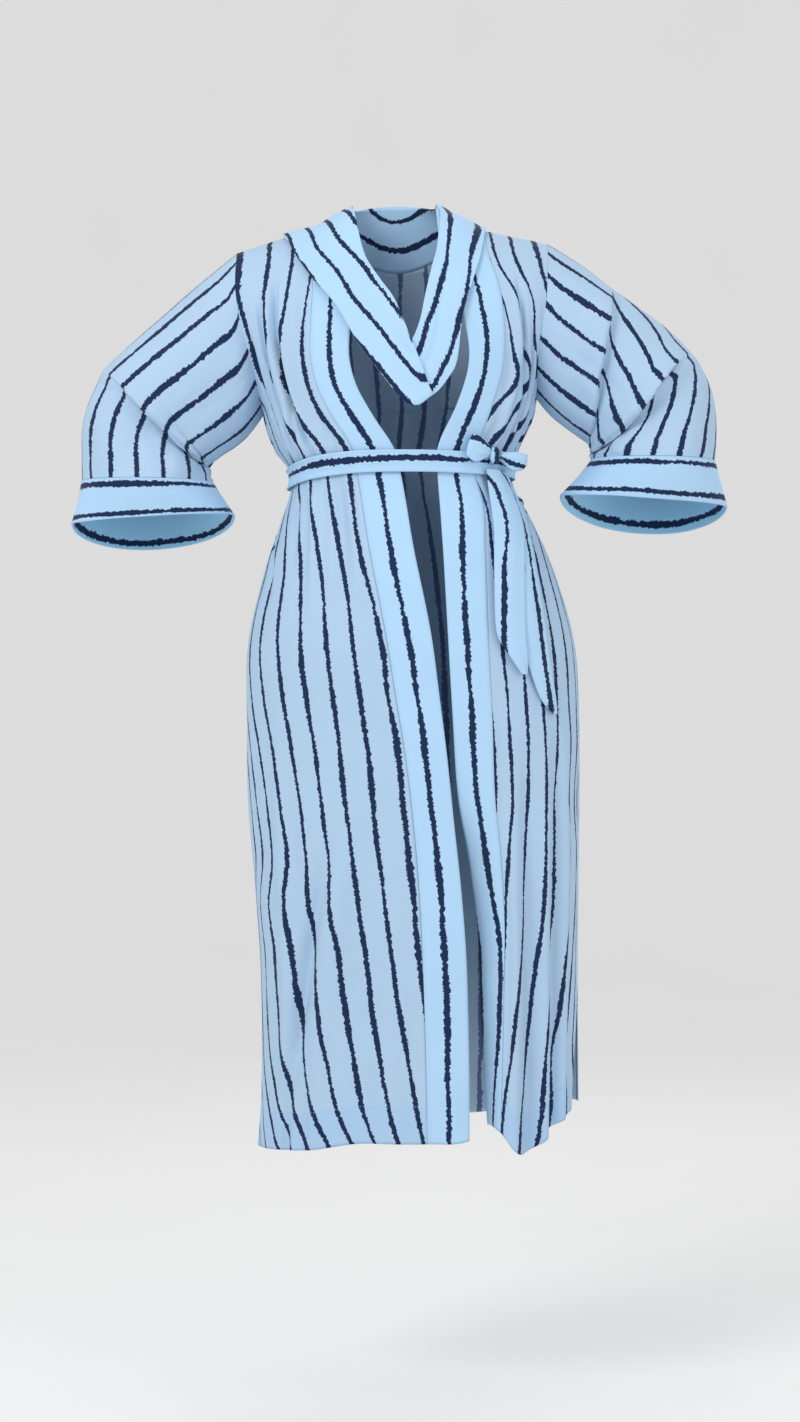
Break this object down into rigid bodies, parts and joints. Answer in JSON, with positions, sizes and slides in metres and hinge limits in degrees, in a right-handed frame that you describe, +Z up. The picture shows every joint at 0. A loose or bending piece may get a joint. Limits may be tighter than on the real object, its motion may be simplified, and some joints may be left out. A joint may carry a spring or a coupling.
{
  "type": "maxi kimono",
  "caption": "Open-front maxi kimono robe, worn: wide bent sleeves with deep cuffs, draped collar, front bands, side slits and a tied belt.",
  "frame": {"origin": "where the wearer's shoulders carry the garment: midway between the shoulder points, level with the base of the neck", "axes": "+Z up, the front faces -Y, +X towards the wearer's left"},
  "size_m": [0.8681, 0.31, 1.2435],
  "materials": {
    "cloth": "single layer of light plain-woven crepe, light blue with lengthwise ragged dark navy stripes, matt",
    "doubled_cloth": "the same crepe doubled in bands, cuffs, collar and belt, which makes the blue fuller, matt"
  },
  "bodies": {
    "root": {"back": "cloth", "front_right": "cloth", "front_left": "cloth", "sleeve_right": "cloth", "sleeve_left": "cloth", "band_right": "doubled_cloth", "band_left": "doubled_cloth", "neck_band": "doubled_cloth", "cuff_right": "doubled_cloth", "cuff_left": "doubled_cloth", "drape_collar": "doubled_cloth", "belt": "doubled_cloth", "bow_knot": "doubled_cloth", "bow_loop_inner": "doubled_cloth", "bow_loop_outer": "doubled_cloth", "belt_tail_front": "doubled_cloth", "belt_tail_side": "doubled_cloth"}
  },
  "joints": []
}
